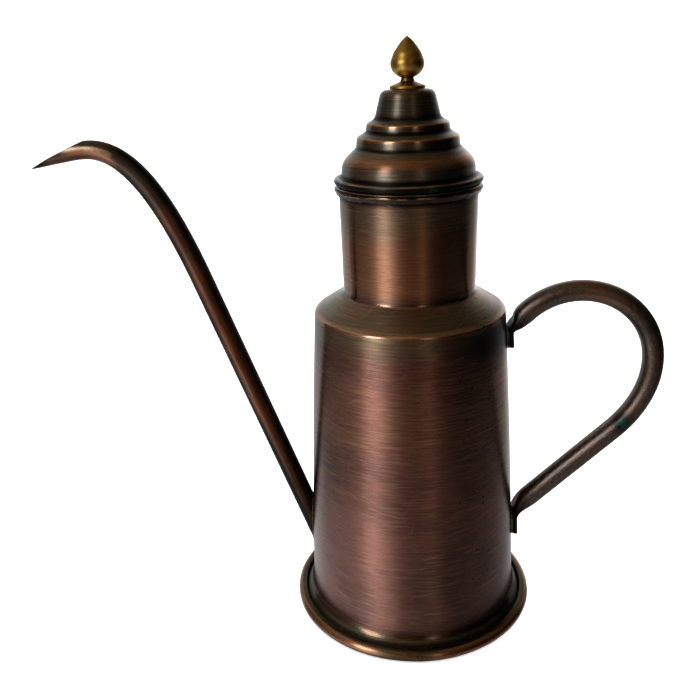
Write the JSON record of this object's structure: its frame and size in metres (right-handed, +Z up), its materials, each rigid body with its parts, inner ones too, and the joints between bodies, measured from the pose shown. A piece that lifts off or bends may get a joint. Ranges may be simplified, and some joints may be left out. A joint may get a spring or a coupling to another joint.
{
  "type": "watering can",
  "caption": "Tall slim copper watering can with a tapered body, a long bent quill spout, a looped tube handle and a stepped lift-off lid with a turned finial.",
  "frame": {"origin": "centre of the flat underside, where the can stands on its base plate", "axes": "+Z up along the body's axis, the spout points along -X and the handle along +X"},
  "size_m": [0.3173, 0.1322, 0.3003],
  "materials": {
    "body_copper": "dark antiqued copper, finely brushed round the body",
    "lid_copper": "dark antiqued copper with worn bright step edges",
    "rim_copper": "worn satin copper",
    "tube_copper": "dark oxidised copper, smooth",
    "inner_copper": "dull clean copper",
    "finial_brass": "turned, satin, lightly aged",
    "braze": "dull, as it ran",
    "solder": "dull grey, as it ran"
  },
  "bodies": {
    "vessel": {"body_shell": "body_copper", "base_plate": "rim_copper", "base_rim_wire": "inner_copper", "base_seam_solder": "solder", "spout_tube": "tube_copper", "spout_braze": "braze", "handle_tube": "tube_copper", "handle_upper_braze": "braze", "handle_lower_braze": "braze"},
    "lid": {"lid_shell": "lid_copper", "lid_collar": "inner_copper", "lid_collar_solder": "solder", "finial": "finial_brass", "finial_washer": "finial_brass", "finial_nut": "finial_brass"}
  },
  "joints": [
    {"name": "lid_lift", "type": "slide", "parent": "vessel", "child": "lid", "axis": [0, 0, 1], "range_m": [0, 0.06]}
  ]
}
